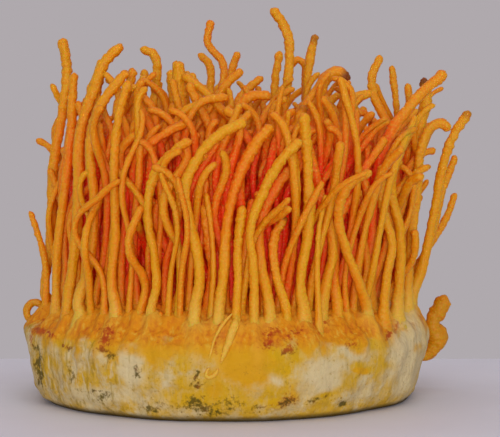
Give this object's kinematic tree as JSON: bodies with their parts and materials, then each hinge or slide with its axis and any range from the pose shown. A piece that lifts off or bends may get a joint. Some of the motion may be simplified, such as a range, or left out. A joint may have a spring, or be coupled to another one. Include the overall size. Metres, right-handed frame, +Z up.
{
  "type": "cordyceps bunch",
  "caption": "Dense upright bunch of slender orange cordyceps stalks growing from a low round cake of substrate bound by pale mycelium.",
  "frame": {"origin": "centre of the cake's flat underside, which rests on the table", "axes": "+Z up along the growth of the stalks, +X to the right and -Y towards the viewer, as the picture shows the bunch"},
  "size_m": [0.1335, 0.121, 0.1154],
  "materials": {
    "mycelium_cake": "matt, creamy felt of mycelium with yellow and brown patches and an orange mat on top",
    "stalk_flesh": "satin yellow-orange flesh, finely grained, redder inside the bunch and paler at the foot",
    "curl_flesh": "satin orange flesh with knobbly swellings"
  },
  "bodies": {
    "root": {"substrate_cake": "mycelium_cake", "front_stalk_01": "stalk_flesh", "front_stalk_02": "stalk_flesh", "front_stalk_03": "stalk_flesh", "front_stalk_04": "stalk_flesh", "front_stalk_05": "stalk_flesh", "front_stalk_06": "stalk_flesh", "front_stalk_07": "stalk_flesh", "front_stalk_08": "stalk_flesh", "front_stalk_09": "stalk_flesh", "front_stalk_10": "stalk_flesh", "front_stalk_11": "stalk_flesh", "front_stalk_12": "stalk_flesh", "front_stalk_13": "stalk_flesh", "front_stalk_14": "stalk_flesh", "front_stalk_15": "stalk_flesh", "front_stalk_16": "stalk_flesh", "front_stalk_17": "stalk_flesh", "front_stalk_18": "stalk_flesh", "front_stalk_19": "stalk_flesh", "front_stalk_20": "stalk_flesh", "front_stalk_21": "stalk_flesh", "front_stalk_22": "stalk_flesh", "left_stalk_01": "stalk_flesh", "left_stalk_02": "stalk_flesh", "left_stalk_03": "stalk_flesh", "left_stalk_04": "stalk_flesh", "left_stalk_05": "stalk_flesh", "middle_stalk_01": "stalk_flesh", "middle_stalk_02": "stalk_flesh", "middle_stalk_03": "stalk_flesh", "middle_stalk_04": "stalk_flesh", "middle_stalk_05": "stalk_flesh", "middle_stalk_06": "stalk_flesh", "middle_stalk_07": "stalk_flesh", "middle_stalk_08": "stalk_flesh", "middle_stalk_09": "stalk_flesh", "middle_stalk_10": "stalk_flesh", "middle_stalk_11": "stalk_flesh", "middle_stalk_12": "stalk_flesh", "middle_stalk_13": "stalk_flesh", "middle_stalk_14": "stalk_flesh", "middle_stalk_15": "stalk_flesh", "middle_stalk_16": "stalk_flesh", "middle_stalk_17": "stalk_flesh", "middle_stalk_18": "stalk_flesh", "middle_stalk_19": "stalk_flesh", "middle_stalk_20": "stalk_flesh", "right_stalk_01": "stalk_flesh", "right_stalk_02": "stalk_flesh", "right_stalk_03": "stalk_flesh", "right_stalk_04": "stalk_flesh", "right_stalk_05": "stalk_flesh", "right_stalk_06": "stalk_flesh", "right_stalk_07": "stalk_flesh", "right_stalk_08": "stalk_flesh", "rim_curl": "curl_flesh", "side_curl": "curl_flesh"}
  },
  "joints": []
}
